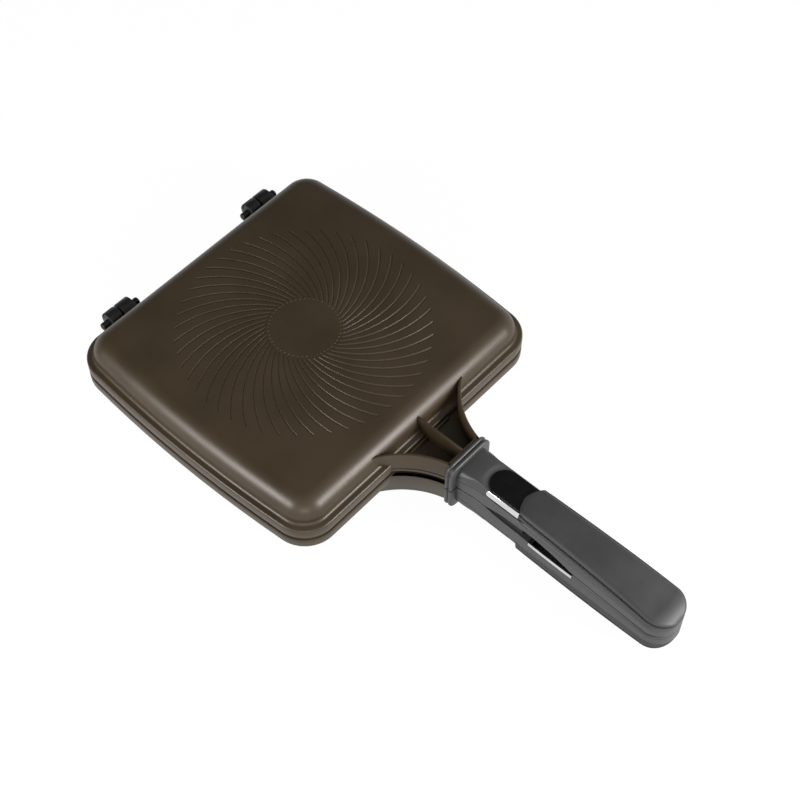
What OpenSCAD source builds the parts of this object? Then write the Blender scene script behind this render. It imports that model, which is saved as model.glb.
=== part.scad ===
// Double sided flip pan: two shallow square pans, hinged at the back, each with
// its own half of the handle. +Z is up, the handle points along -Y and the
// origin is the centre of the lower pan's base.

/* [Pan] */
// Width of each pan at the middle of its bowed sides
pan_w = 196; // [160:1:240]
// Length of each pan from front rim to back rim
pan_l = 182.6; // [150:1:230]
// Height of one pan, from its base to the face of its rim
pan_h = 20.5; // [18:0.5:30]
// Radius that the left and right sides bow out on
side_bow_r = 841.5; // [600:0.5:2000]
// Corner radius of the rim, seen from above
corner_r = 20; // [17.5:0.5:26]
// Radius of the shoulder between side wall and base
shoulder_r = 11.4; // [8:0.2:12]
// How far the flange stands out from the side wall
flange_w = 4.5; // [3:0.1:6]
// Height of the flange's upright edge
flange_h = 5; // [3:0.1:6]
// Rise of the flange's slope from its edge to the wall
flange_rise = 1.8; // [1:0.1:2.5]
// Chamfer along the edge where the two rims meet
rim_chamfer = 0.5; // [0.2:0.1:1]
// Thickness of the cast wall and base
wall_t = 3; // [2:0.1:4]
// Height of the lip on the lower rim that the upper pan shuts on
lip_h = 2.8; // [1:0.1:3]
// How far the lip lies inside the rim's edge
lip_in = 1; // [0.6:0.1:2]

/* [Base swirl] */
// Number of curved grooves in each base
swirl_n = 49; // [20:1:52]
// Radius where the grooves start
swirl_in_r = 22; // [18:0.5:30]
// Radius where the grooves end
swirl_out_r = 72.4; // [50:0.2:73]
// Radius that each groove curves on
swirl_arc_r = 67; // [60:1:90]
// Angle that a groove turns through between its two ends, about the pan's centre
swirl_turn = 44; // [20:1:50]
// Width of a groove
swirl_w = 0.9; // [0.5:0.1:1.4]
// Depth of a groove
swirl_depth = 0.4; // [0.2:0.1:0.8]

/* [Handle bracket] */
// Length of the bracket, from rim to handle
bracket_l = 26.7; // [22:0.1:34]
// Width of the bracket at the handle
bracket_w = 24.6; // [20:0.2:26]
// Height of the bracket's walls above the face of the rim
bracket_h = 16; // [12:0.2:16.6]
// Radius of the curve that the side walls flare on
flare_r = 52; // [44:1:80]
// How far behind the collar's front face the centre of that curve lies
flare_back = 12; // [0:1:20]
// Thickness of the side walls and the long rib
bracket_wall = 1.8; // [1.2:0.1:2.4]
// Thickness of the bracket's web
web_t = 1.8; // [1.2:0.1:2.4]
// How far the bracket's web lies above the face of the rim
slot_half = 1.2; // [1:0.1:3]
// Height of the cross rib above the web
cross_rib_h = 2.2; // [1:0.1:4]
// Thickness of the plate that closes the bracket at the handle
end_plate_t = 1.6; // [1:0.1:3]
// Width of the tang inside the handle
tang_w = 11; // [8:0.5:12]
// Height of the tang
tang_h = 5; // [4:0.2:6]
// Length of the tang behind the collar
tang_l = 24; // [20:1:28]

/* [Hinge] */
// Diameter of the hinge pins
pin_d = 5; // [3:0.1:6]
// Length of each hinge pin
pin_l = 28; // [27:0.5:34]
// Distance of the hinge axis behind the rim
hinge_out = 7.2; // [7:0.1:9]
// Outer diameter of lugs and knuckles
lug_d = 12.4; // [10:0.1:12.6]
// Width of the lower pan's hinge lug
lug_w = 8; // [6:0.5:9]
// Width of the upper pan's hinge knuckle
knuckle_w = 9; // [6:0.5:10]
// Gap between lug and knuckle
lug_gap = 1; // [0.4:0.1:2]
// Radial clearance of the pins
pin_clear = 0.05; // [0.03:0.01:0.08]
// Middle of the left hinge
hinge_left_x = -53; // [-60:1:-40]
// Middle of the right hinge
hinge_right_x = 60; // [40:1:64]

/* [Collar] */
// Thickness of the collar along the handle
collar_t = 5; // [4:0.2:7]
// Width of the collar
collar_w = 32; // [27:0.2:34]
// Height of the collar above the handle's parting face
collar_h = 17.8; // [17:0.1:19]
// Corner radius of the collar
collar_r = 4; // [3:0.5:8]
// Depth of the groove round the collar
collar_groove = 0.7; // [0.3:0.1:1.2]

/* [Handle] */
// Gap between the two halves of the handle
half_gap = 1; // [0.4:0.1:2]
// Length of the handle behind the collar
handle_l = 139; // [130:1:160]
// Length of the neck, from collar to inlay
neck_l = 15.3; // [14:0.1:18]
// Width of the neck where it meets the collar
neck_w = 23.4; // [22:0.1:25]
// Width of the neck's top face where it meets the collar
neck_top_w = 23; // [18:0.1:24]
// Width of the waist beside the inlay
waist_w = 21.2; // [20:0.1:24]
// Height of the neck and waist above the handle's parting face
waist_h = 15.8; // [15.6:0.1:16.5]
// Widest part of the grip
grip_w = 26.2; // [24:0.2:30]
// Radius of the rounded end of the grip, seen from above
grip_end_r = 12; // [8:0.5:12.5]
// Height of the rail under the front of the grip cover
rail_h = 11.3; // [10:0.1:11.3]
// Height of the rail at the round end
rail_end_h = 7.4; // [6.5:0.1:8]
// Highest point of the grip cover above the handle's parting face
grip_h = 17.8; // [17.6:0.1:20]
// How much lower the cover's crown is at the start of the round end
crown_fall = 4.4; // [1:0.1:4.5]
// Radius of the grip cover's curved front edge, seen from above
cover_front_r = 14.4; // [13:0.2:20]
// Radius of the grip cover's upper edges
grip_edge_r = 5.5; // [3:0.1:6]
// Small radius of the rail's edges
rail_edge_r = 1.1; // [0.5:0.1:1.5]
// Depth of the hollow between the two handles, in the upper one
upper_lens = 5.5; // [3:0.1:6]
// Depth of that hollow in the lower one
lower_lens = 1.2; // [0.6:0.1:3]
// Length of that hollow
lens_l = 65; // [55:1:70]
// Where that hollow starts, behind the collar
lens_start = 17; // [15:0.5:20]

/* [Inlay and trim] */
// Length of the inlay up to the grip cover
inlay_l = 22; // [18:0.5:26]
// Width of the inlay
inlay_w = 17.2; // [15:0.1:18]
// Thickness of the inlay
inlay_t = 0.8; // [0.6:0.1:1]
// Radius of the inlay's round front
inlay_front_r = 8.6; // [8:0.1:12]
// Narrow ledge on each side of the inlay
bed_edge = 0.5; // [0.3:0.1:0.8]
// How far the hollow in front of the inlay reaches beyond it
crescent_l = 3.8; // [2:0.1:4.5]
// Depth of that hollow
crescent_depth = 0.7; // [0.3:0.1:1]
// Height of the polished side strips
trim_h = 3.1; // [2:0.1:3.4]
// How far the side strips lie below the top of the waist
trim_top = 1.3; // [1.3:0.1:2]
// Thickness of the polished side strips
trim_t = 1; // [0.6:0.1:1.4]
// Length of the polished side strips
trim_l = 22; // [18:0.5:26]
// How far behind the inlay's front the side strips start
trim_back = 3.7; // [2:0.1:5]
// How far the side strips stand out from the waist
trim_out = 0.15; // [0.1:0.05:0.4]
// Length of the plate in the hollow between the handles
plate_l = 30; // [20:0.5:32]
// How far that plate's edges stand out from the rail
plate_out = 0.15; // [0.05:0.05:0.4]
// Thickness of that plate
plate_t = 2.6; // [1:0.1:3]

/* [Fixings] */
// Diameter of the tang screw
tang_screw_d = 4; // [3:0.1:5]
// Diameter of the tang screw's head
tang_head_d = 7; // [6:0.1:8]
// Thickness of the tang screw's head
tang_head_t = 2.2; // [1.5:0.1:2.4]
// Diameter of the cover screws
cover_screw_d = 3; // [2:0.1:4]
// Diameter of the cover screws' heads
cover_head_d = 5.6; // [5:0.1:7]
// Thickness of the cover screws' heads
cover_head_t = 1.8; // [1.2:0.1:2.4]
// Length of the cover screws
cover_screw_l = 9; // [7:0.5:10]
// Diameter of the magnets
magnet_d = 12; // [8:0.5:14]
// Thickness of the magnets
magnet_t = 3; // [2:0.1:4]
// Width of the six-sided recess in a screw's head, across its corners
drive_d = 2.6; // [1.5:0.1:3]
// How deep heads and magnets lie below the handle's parting face
sunk = 0.2; // [0.1:0.1:0.5]
// Clearance round the pieces that are fitted in the handle
fit = 0.1; // [0.05:0.01:0.2]

/* [Hidden] */
$fn = 96;

// Colours
BRONZE = [0.21, 0.18, 0.14];
GREY = [0.37, 0.36, 0.36];
SOFT_GREY = [0.27, 0.27, 0.28];
BLACK = [0.08, 0.08, 0.08];
POLISHED = [0.82, 0.82, 0.84];
STEEL = [0.62, 0.63, 0.65];

// A small overlap that joins solids, and a length that cuts right through
bite = 0.6;
far = 60;
// How far the tang lies below mid height, how far its screw reaches past it, and
// the width of the saw cut in the lower hinge lugs
tang_low = 1;
screw_past_tang = 1.5;
saw_w = 0.8;

// Rim outline: the corner circles' centres, and the centre that the left and
// right sides bow about
corner_y = pan_l/2 - corner_r;
bow_cx = pan_w/2 - side_bow_r;
corner_x = bow_cx + sqrt(pow(side_bow_r - corner_r, 2) - pow(corner_y, 2));
bow_rise = pan_w/2 - corner_r - corner_x;
// Far end of the plane between a corner and its bowed side
seam_x = bow_cx + 1.1*(corner_x - bow_cx);
seam_y = 1.1*corner_y;
wall_in = flange_w + wall_t;
shoulder_z = pan_h - shoulder_r;
flat_in = flange_w + shoulder_r;
// Where the bracket ends within the pan's wall
root_y = -pan_l/2 + flat_in/2;

// Middle height, and how much lower than the rim's face a handle's parting face lies
mid_z = pan_h + lip_h/2;
face_drop = (lip_h - half_gap)/2;

// Places along the handle, and the hinge axis
collar_y = -pan_l/2 - bracket_l;
handle_y = collar_y - collar_t;
end_y = handle_y - handle_l;
inlay_y = handle_y - neck_l;
cover_y = inlay_y - inlay_l;
round_y = end_y + grip_end_r;
hinge_y = pan_l/2 + hinge_out;
flare_y = collar_y - flare_back;
flare_x = bracket_w/2 + sqrt(pow(flare_r, 2) - pow(flare_back, 2));
tang_z = (waist_h - tang_h)/2 - tang_low;
tang_screw_y = handle_y - tang_l/2;
lens_mid = handle_y - lens_start - lens_l/2;
magnet_y = (lens_mid - lens_l/2 + round_y)/2;
cover_screw_y = [magnet_y + magnet_d/2 + cover_head_d, magnet_y - magnet_d/2 - cover_head_d];
trim_z = waist_h - trim_top - trim_h;
tang_screw_top = tang_z + tang_h + screw_past_tang;
front_l = cover_front_r - sqrt(pow(cover_front_r, 2) - pow(waist_w/2, 2)) + bite;
side_front_y = cover_y - front_l + bite;
// Edge radius of the neck, how much lower its top is at the collar, and how far
// the cover's edge drops at its two ends
neck_edge_r = 4.5;
neck_dip = 0.6;
front_drop = 1;
grip_end_drop = 4.9;
// Points on each rounded corner of the handle's cross sections
steps = 5;

// Moves a half that is drawn above its own parting face to its place, with this
// gap between the faces of the two halves
module place(upper, gap) {
    translate([0, 0, mid_z + (upper ? gap/2 : -gap/2)])
        mirror([0, 0, upper ? 0 : 1])
            children();
}

// Cross section of the cast shell. x = 0 is where the corner's centre would be
// and x = reach is the rim's outer edge; y is the height above the rim's face,
// and a lip stands out below that face.
module shell_profile(reach, inner, lip) {
    difference() {
        union() {
            // flange with its sloping top
            polygon([[inner, 0], [reach - rim_chamfer, 0], [reach, rim_chamfer],
                     [reach, flange_h], [reach - flange_w - bite, flange_h + flange_rise + bite],
                     [inner, flange_h + flange_rise + bite]]);
            // lip, side wall, shoulder and base
            translate([inner, -lip])
                square([reach - lip_in - inner, lip + flange_h]);
            translate([inner, 0])
                square([reach - flange_w - inner, shoulder_z]);
            translate([inner, 0])
                square([reach - flat_in - inner, pan_h]);
            translate([reach - flat_in, shoulder_z])
                intersection() {
                    circle(shoulder_r);
                    square(shoulder_r);
                }
        }
        // hollow of the pan
        translate([inner - 1, -lip - 1])
            square([reach - wall_in - inner + 1, lip + shoulder_z + 1]);
        translate([inner - 1, -1])
            square([reach - flat_in - inner + 1, pan_h - wall_t + 1]);
        translate([reach - flat_in, shoulder_z])
            circle(shoulder_r - wall_t);
    }
}

// Cast shell: a straight middle, two bowed sides and four corners, which meet
// on the planes through the corner circles' centres
module shell(lip) {
    translate([-corner_x, 0, 0])
        rotate([90, 0, 90])
            linear_extrude(2*corner_x)
                for (sy = [0, 1]) mirror([sy, 0])
                    translate([corner_y, 0])
                        shell_profile(corner_r, -corner_y, lip);
    for (sx = [0, 1]) mirror([sx, 0, 0]) {
        // bowed side, a slim sector of a very large ring
        intersection() {
            translate([bow_cx, 0, 0])
                rotate_extrude($fn = 1440)
                    shell_profile(side_bow_r, side_bow_r - corner_r - bow_rise - 1, lip);
            translate([0, 0, -lip_h]) linear_extrude(pan_h + lip_h)
                polygon([[corner_x, -corner_y], [seam_x, -seam_y], [seam_x, seam_y],
                         [corner_x, corner_y]]);
        }
        for (sy = [0, 1]) mirror([0, sy, 0])
            intersection() {
                translate([corner_x, corner_y, 0])
                    rotate_extrude()
                        shell_profile(corner_r, 0, lip);
                translate([0, 0, -lip_h]) linear_extrude(pan_h + lip_h)
                    polygon([[corner_x, corner_y], [seam_x, seam_y], [seam_x, pan_l],
                             [corner_x, pan_l]]);
            }
    }
}

// Grooves that curve out from the middle of the base
module swirl() {
    // the groove's two ends, and the centre of the arc through them
    p = [swirl_in_r, 0];
    q = swirl_out_r*[cos(swirl_turn), sin(swirl_turn)];
    half = norm(q - p)/2;
    along = (q - p)/(2*half);
    centre = (p + q)/2 + sqrt(pow(swirl_arc_r, 2) - pow(half, 2))*[-along[1], along[0]];
    from = atan2(p[1] - centre[1], p[0] - centre[0]);
    span = 2*asin(half/swirl_arc_r);
    for (i = [0:swirl_n - 1])
        rotate([0, 0, 360*i/swirl_n])
            translate([centre[0], centre[1], pan_h - swirl_depth])
                rotate([0, 0, from])
                    rotate_extrude(angle = span, $fn = 180)
                        translate([swirl_arc_r - swirl_w/2, 0])
                            square([swirl_w, 1]);
}

// Plan of the flared bracket, from inside the shell to the handle
module bracket_plan() {
    difference() {
        translate([-flare_x, collar_y])
            square([2*flare_x, root_y - collar_y]);
        for (s = [-1, 1])
            translate([s*flare_x, flare_y])
                circle(flare_r, $fn = 180);
        // beyond the top of the flare
        for (s = [0, 1]) mirror([s, 0])
            translate([bracket_w/2 + bracket_l*0.9, collar_y])
                square([flare_x, far]);
    }
}

// Bracket, end plate and tang of one pan
module bracket() {
    translate([0, 0, slot_half])
        linear_extrude(web_t)
            bracket_plan();
    translate([0, 0, slot_half])
        linear_extrude(bracket_h - slot_half)
            intersection() {
                bracket_plan();
                for (s = [-1, 1])
                    translate([s*flare_x, flare_y])
                        circle(flare_r + bracket_wall, $fn = 180);
            }
    // long rib and cross rib
    translate([-bracket_wall/2, collar_y, slot_half])
        cube([bracket_wall, root_y - collar_y, bracket_h - slot_half]);
    translate([-bracket_w*0.7, -pan_l/2 - bracket_wall, slot_half])
        cube([bracket_w*1.4, bracket_wall, web_t + cross_rib_h]);
    // plate at the handle
    translate([-bracket_w/2, collar_y, slot_half])
        cube([bracket_w, end_plate_t, bracket_h - slot_half]);
    // tang inside the handle
    difference() {
        translate([-tang_w/2, handle_y - tang_l, tang_z - face_drop])
            cube([tang_w, tang_l + collar_t + bite, tang_h]);
        translate([0, tang_screw_y, 0])
            cylinder(d = tang_screw_d + 2*fit, h = far);
    }
}

// One pan: its shell, its bracket, which stays out of the hollow, and its swirl
module pan_half(upper) {
    color(BRONZE) place(upper, lip_h) {
        difference() {
            union() {
                shell(upper ? 0 : lip_h);
                difference() {
                    bracket();
                    translate([-far, -pan_l/2 + flange_w + wall_t/2, -1])
                        cube([2*far, far, far]);
                }
            }
            swirl();
        }
    }
}

// Lug or knuckle round the hinge axis, its left face at x
module hinge_eye(x, w, upper) {
    arm_z = lip_h/2 + rim_chamfer;
    arm_h = lug_d/2 - rim_chamfer - arm_z;
    color(BRONZE) translate([x, 0, mid_z])
        rotate([90, 0, 90])
            linear_extrude(w)
                difference() {
                    union() {
                        translate([hinge_y, 0])
                            circle(d = lug_d);
                        translate([pan_l/2 - flange_w, upper ? arm_z : -arm_z - arm_h])
                            square([flange_w + hinge_out, arm_h]);
                    }
                    translate([hinge_y, 0])
                        circle(d = pin_d + 2*pin_clear);
                    // the lower lug has a saw cut behind the pin
                    if (!upper)
                        translate([hinge_y + pin_d/2 + saw_w, pin_d/4])
                            square([saw_w, lug_d]);
                }
}

function lug_x(mid) = mid - (lug_w + lug_gap + knuckle_w)/2;
function knuckle_x(mid) = lug_x(mid) + lug_w + lug_gap;

module lower_pan() {
    pan_half(false);
    for (mid = [hinge_left_x, hinge_right_x])
        hinge_eye(lug_x(mid), lug_w, false);
}

module upper_pan() {
    pan_half(true);
    for (mid = [hinge_left_x, hinge_right_x])
        hinge_eye(knuckle_x(mid), knuckle_w, true);
}

// Two round pins with chamfered ends
module hinge_pins() {
    tip = pin_d/5;
    color(BLACK) for (mid = [hinge_left_x, hinge_right_x])
        translate([mid - pin_l/2, hinge_y, mid_z])
            rotate([0, 90, 0])
                rotate_extrude()
                    polygon([[0, 0], [pin_d/2 - tip, 0], [pin_d/2, tip],
                             [pin_d/2, pin_l - tip], [pin_d/2 - tip, pin_l], [0, pin_l]]);
}

// Upright outline with rounded upper corners
module dome(w, h, r) {
    translate([-w/2, 0])
        square([w, h - r]);
    translate([-w/2 + r, 0])
        square([w - 2*r, h]);
    for (s = [-1, 1])
        translate([s*(w/2 - r), h - r])
            circle(r);
}

// Flame guard ring between bracket and handle
module collar(upper) {
    bead = collar_t*0.42;
    color(GREY) place(upper, half_gap)
        difference() {
            translate([0, collar_y, 0]) rotate([90, 0, 0]) {
                linear_extrude(bead)
                    dome(collar_w, collar_h, collar_r);
                linear_extrude(collar_t)
                    dome(collar_w - 2*collar_groove, collar_h - collar_groove,
                         collar_r - collar_groove);
                translate([0, 0, collar_t - bead])
                    linear_extrude(bead)
                        dome(collar_w, collar_h, collar_r);
            }
            translate([-tang_w/2 - fit, collar_y - collar_t - 1, tang_z - fit])
                cube([tang_w + 2*fit, collar_t + 2, tang_h + 2*fit]);
        }
}

// One cross section of the handle: a rounded box that narrows upwards
function ring(y, w_low, w_top, z0, z1, r_low, r_top) =
    let (w = max(w_low, w_top), h = z1 - z0)
    [for (q = [0:3]) for (k = [0:steps])
        let (a = 90*(q + k/steps),
             r = min(q < 2 ? r_top : r_low, 0.9*w, 0.48*h),
             x = (q == 0 || q == 3 ? w - r : r - w) + r*cos(a),
             z = (q < 2 ? z1 - r : z0 + r) + r*sin(a))
        [x/w*(w_low + (w_top - w_low)*(z - z0)/h), y, z]];

// Solid through a list of cross sections that run along -Y
module loft(rings) {
    n = len(rings[0]);
    last = (len(rings) - 1)*n;
    polyhedron(points = [for (r = rings) each r],
               faces = [[for (k = [0:n - 1]) k],
                        [for (k = [n - 1:-1:0]) last + k],
                        for (i = [0:len(rings) - 2]) for (k = [0:n - 1])
                            let (a = i*n + k, b = i*n + (k + 1) % n)
                            [a, a + n, b + n, b]]);
}

// Half width of the handle at a place along it, before its round end
function grip_half(y) = waist_w/2
    + (grip_w - waist_w)/2*max(0, (cover_y - y)/(cover_y - round_y));
// Height of the rail, which falls from the side of the cover's front to the round end
function rail(y) = rail_h
    - (rail_h - rail_end_h)*max(0, min(1, (side_front_y - y)/(side_front_y - round_y)));
// Half width within the round end
function end_half(a) = grip_w/2 - grip_end_r + grip_end_r*cos(a);
// Height of the cover's crown
function crown(y) = grip_h - crown_fall*pow(max(0, (cover_y - y)/(cover_y - round_y)), 3);

// The hollow that keeps the two handles apart in the middle: its depth, the radius
// that it curves on, and a slice of it that is larger by c, seen from the side
function lens_depth(upper) = upper ? upper_lens : lower_lens;
function lens_r(upper) = (pow(lens_l/2, 2) + pow(lens_depth(upper), 2))/(2*lens_depth(upper));
module lens_side(upper, c) {
    translate([lens_mid, lens_depth(upper) - lens_r(upper)])
        circle(lens_r(upper) + c, $fn = 360);
}

module lens(upper) {
    translate([-far/2, 0, 0])
        rotate([90, 0, 90])
            linear_extrude(far)
                lens_side(upper, 0);
}

// Solid body: neck, waist and the rail under the grip cover
module body_blank() {
    waist = waist_w/2;
    loft([ring(handle_y, neck_w/2, neck_top_w/2, 0, waist_h - neck_dip, rail_edge_r, neck_edge_r),
          ring(handle_y - neck_l*0.4, (neck_w/2 + waist)/2, (neck_top_w + inlay_w)/4, 0,
               waist_h - neck_dip/2, rail_edge_r, neck_edge_r),
          for (y = [handle_y - neck_l*0.8, inlay_y - inlay_l/2, cover_y - front_l])
              ring(y, waist, inlay_w/2 + bed_edge, 0, waist_h, rail_edge_r, bed_edge),
          for (y = [cover_y - front_l - bite, (cover_y + round_y)/2, round_y])
              ring(y, grip_half(y), grip_half(y), 0, rail(y), rail_edge_r, rail_edge_r),
          for (a = [15:15:90])
              ring(round_y - grip_end_r*sin(a), end_half(a), end_half(a), 0, rail_end_h,
                   rail_edge_r, rail_edge_r)]);
}

// Everything behind the round front of the grip cover, from height z up
module behind_cover_front(z, c) {
    translate([0, cover_y - cover_front_r, z])
        cylinder(r = cover_front_r + c, h = far);
}

// Bed for the inlay, and the hollow in front of it
module inlay_space() {
    translate([0, inlay_y - inlay_front_r, 0]) {
        translate([0, 0, waist_h - inlay_t])
            cylinder(r = inlay_front_r + fit, h = far);
        rotate_extrude()
            polygon([[0, waist_h - crescent_depth],
                     [inlay_front_r + fit, waist_h - crescent_depth],
                     [inlay_front_r + crescent_l, waist_h], [inlay_front_r + crescent_l, far],
                     [0, far]]);
    }
    translate([-far/2, cover_y - far, waist_h - inlay_t])
        cube([far, far + inlay_l - inlay_front_r, far]);
}

// Side of the waist at height z
function waist_side(z) = waist_w/2 - (waist_w/2 - inlay_w/2 - bed_edge)*z/waist_h;

// Strips along both sides of the inlay, larger by the clearance c
module trim_pair(c) {
    z0 = trim_z - c;
    z1 = trim_z + trim_h + c;
    difference() {
        translate([0, inlay_y - trim_back + c, 0])
            rotate([90, 0, 0])
                linear_extrude(trim_l + 2*c)
                    for (s = [0, 1]) mirror([s, 0])
                        polygon([[waist_side(z0) - trim_t - c, z0],
                                 [waist_side(z0) + trim_out + c, z0],
                                 [waist_side(z1) + trim_out + c, z1],
                                 [waist_side(z1) - trim_t - c, z1]]);
        behind_cover_front(rail_h, fit - c);
    }
}

// Plate that lies in the hollow between the handles, larger by the clearance c
module inner_plate_shape(upper, c) {
    intersection() {
        translate([-far/2, 0, 0])
            rotate([90, 0, 90])
                linear_extrude(far)
                    difference() {
                        lens_side(upper, plate_t + c);
                        lens_side(upper, 0);
                    }
        linear_extrude(far)
            polygon([for (p = [[-1, c], [1, c], [1, -plate_l - c], [-1, -plate_l - c]])
                         let (y = lens_mid + p[1])
                         [p[0]*(grip_half(y) + plate_out + c), y]]);
    }
}

module handle_body(upper) {
    color(GREY) place(upper, half_gap)
        difference() {
            body_blank();
            behind_cover_front(rail(cover_y - front_l - bite), fit);
            inlay_space();
            trim_pair(fit);
            lens(upper);
            inner_plate_shape(upper, fit);
            // pocket for the tang, and the tang screw's bore
            translate([-tang_w/2 - fit, handle_y - tang_l - fit, tang_z - fit])
                cube([tang_w + 2*fit, tang_l + 1, tang_h + 2*fit]);
            translate([0, tang_screw_y, -1]) {
                cylinder(d = tang_head_d + 2*fit, h = 1 + sunk + tang_head_t);
                cylinder(d = tang_screw_d + 2*fit, h = 1 + tang_screw_top + fit);
            }
            // bores for the cover screws
            for (y = cover_screw_y) translate([0, y, -1]) {
                cylinder(d = cover_head_d + 2*fit, h = 1 + sunk + cover_head_t);
                cylinder(d = cover_screw_d + 2*fit, h = far);
            }
            translate([0, magnet_y, -1])
                cylinder(d = magnet_d + 2*fit, h = 1 + sunk + magnet_t);
        }
}

module grip_cover(upper) {
    full = asin(waist_w/2/cover_front_r);
    color(SOFT_GREY) place(upper, half_gap)
        difference() {
            loft([for (t = [0.15, 0.4, 0.7, 1])
                      let (y = cover_y - cover_front_r*(1 - cos(t*full)),
                           x = cover_front_r*sin(t*full))
                      ring(y, x, x, rail_h, crown(y) - front_drop*(1 - t), rail_edge_r,
                           grip_edge_r),
                  for (t = [0.15:0.1:1])
                      let (y = cover_y - front_l + (round_y - cover_y + front_l)*t)
                      ring(y, grip_half(y), grip_half(y), rail(y), crown(y), rail_edge_r,
                           grip_edge_r),
                  for (a = [0:15:90])
                      let (y = round_y - grip_end_r*sin(a))
                      ring(y, end_half(a), end_half(a), rail_end_h,
                           crown(round_y) - grip_end_drop*(1 - cos(a)), rail_edge_r,
                           grip_edge_r)]);
            for (y = cover_screw_y) translate([0, y, 0])
                cylinder(d = cover_screw_d + fit, h = sunk + cover_head_t + cover_screw_l + fit);
        }
}

module inlay(upper) {
    color(BLACK) place(upper, half_gap)
        translate([0, 0, waist_h - inlay_t])
            linear_extrude(inlay_t)
                difference() {
                    union() {
                        intersection() {
                            translate([0, inlay_y - inlay_front_r])
                                circle(inlay_front_r);
                            translate([-inlay_w/2, inlay_y - inlay_front_r])
                                square([inlay_w, inlay_front_r]);
                        }
                        translate([-inlay_w/2, cover_y - front_l])
                            square([inlay_w, inlay_l + front_l - inlay_front_r]);
                    }
                    translate([0, cover_y - cover_front_r])
                        circle(cover_front_r + fit);
                }
}

module trim_strips(upper) {
    color(POLISHED) place(upper, half_gap)
        trim_pair(0);
}

module inner_plate(upper) {
    color(STEEL) place(upper, half_gap)
        inner_plate_shape(upper, 0);
}

// Flat-headed screw whose head lies just inside the handle's parting face
module screw(d, head_d, head_t, l) {
    translate([0, 0, sunk])
        difference() {
            union() {
                cylinder(d = head_d, h = head_t);
                cylinder(d = d, h = head_t + l);
            }
            translate([0, 0, -1])
                cylinder(d = drive_d, h = 1 + head_t/2, $fn = 6);
        }
}

module tang_screw(upper) {
    color(STEEL) place(upper, half_gap)
        translate([0, tang_screw_y, 0])
            screw(tang_screw_d, tang_head_d, tang_head_t, tang_screw_top - sunk - tang_head_t);
}

module cover_screws(upper) {
    color(STEEL) place(upper, half_gap)
        for (y = cover_screw_y) translate([0, y, 0])
            screw(cover_screw_d, cover_head_d, cover_head_t, cover_screw_l);
}

module magnet(upper) {
    color(STEEL) place(upper, half_gap)
        translate([0, magnet_y, sunk])
            cylinder(d = magnet_d, h = magnet_t);
}

lower_pan();
upper_pan();
hinge_pins();
collar(false);  // lower_collar
collar(true);  // upper_collar
handle_body(false);  // lower_handle_body
handle_body(true);  // upper_handle_body
grip_cover(false);  // lower_grip_cover
grip_cover(true);  // upper_grip_cover
inlay(false);  // lower_inlay
inlay(true);  // upper_inlay
trim_strips(false);  // lower_trim_strips
trim_strips(true);  // upper_trim_strips
inner_plate(false);  // lower_inner_plate
inner_plate(true);  // upper_inner_plate
tang_screw(false);  // lower_tang_screw
tang_screw(true);  // upper_tang_screw
cover_screws(false);  // lower_cover_screws
cover_screws(true);  // upper_cover_screws
magnet(false);  // lower_magnet
magnet(true);  // upper_magnet
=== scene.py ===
import math
import bmesh
import bpy
from mathutils import Matrix, Vector


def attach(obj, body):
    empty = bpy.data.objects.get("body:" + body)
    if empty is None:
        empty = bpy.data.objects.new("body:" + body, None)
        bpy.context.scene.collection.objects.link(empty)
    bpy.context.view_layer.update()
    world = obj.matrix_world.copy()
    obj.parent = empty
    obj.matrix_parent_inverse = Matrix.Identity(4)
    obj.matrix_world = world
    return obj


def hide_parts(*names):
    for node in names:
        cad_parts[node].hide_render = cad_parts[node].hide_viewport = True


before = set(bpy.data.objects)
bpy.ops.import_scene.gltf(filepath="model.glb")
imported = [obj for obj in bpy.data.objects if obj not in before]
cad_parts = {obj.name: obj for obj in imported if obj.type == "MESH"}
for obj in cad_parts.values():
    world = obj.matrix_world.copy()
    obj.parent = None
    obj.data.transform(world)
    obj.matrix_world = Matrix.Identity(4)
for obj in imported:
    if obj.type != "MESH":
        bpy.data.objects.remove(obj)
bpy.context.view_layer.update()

# ---------------------------------------------------------------- camera
# The photograph's camera stands over the left front corner and looks down at
# 55 degrees. Its place and lens were worked out for an 800 by 800 picture.
AZIMUTH, ELEVATION, ROLL = math.radians(-48.25), math.radians(55.21), math.radians(0.39)
PICTURE, FOCAL_PX = 800, 1619.67     # the picture's side and the focal length, in pixels
SENSOR = 36                          # in millimetres
RIM = 0.0233                         # height of the upper pan's rim face, in metres
RIM_PX, RIM_PY = 306.37, 349.86      # the pixel where the middle of that face lies
DISTANCE = 0.92217                   # from the lens to that middle, along the view

ahead = Vector((-math.sin(AZIMUTH) * math.cos(ELEVATION),
                math.cos(AZIMUTH) * math.cos(ELEVATION), -math.sin(ELEVATION)))
level = Vector((math.cos(AZIMUTH), math.sin(AZIMUTH), 0))
above = level.cross(ahead)
across = math.cos(ROLL) * level + math.sin(ROLL) * above
downward = math.sin(ROLL) * level - math.cos(ROLL) * above
eye = (Vector((0, 0, RIM)) - ahead * DISTANCE
       - across * ((RIM_PX - PICTURE / 2) / FOCAL_PX * DISTANCE)
       - downward * ((RIM_PY - PICTURE / 2) / FOCAL_PX * DISTANCE))
turn = Matrix((across, -downward, -ahead)).transposed().to_4x4()
camera = bpy.data.objects.new("camera", bpy.data.cameras.new("camera"))
bpy.context.scene.collection.objects.link(camera)
camera.matrix_world = Matrix.Translation(eye) @ turn
camera.data.sensor_width = SENSOR
camera.data.lens = FOCAL_PX / PICTURE * SENSOR
camera.data.clip_start, camera.data.clip_end = 0.01, 20
bpy.context.scene.camera = camera


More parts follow.
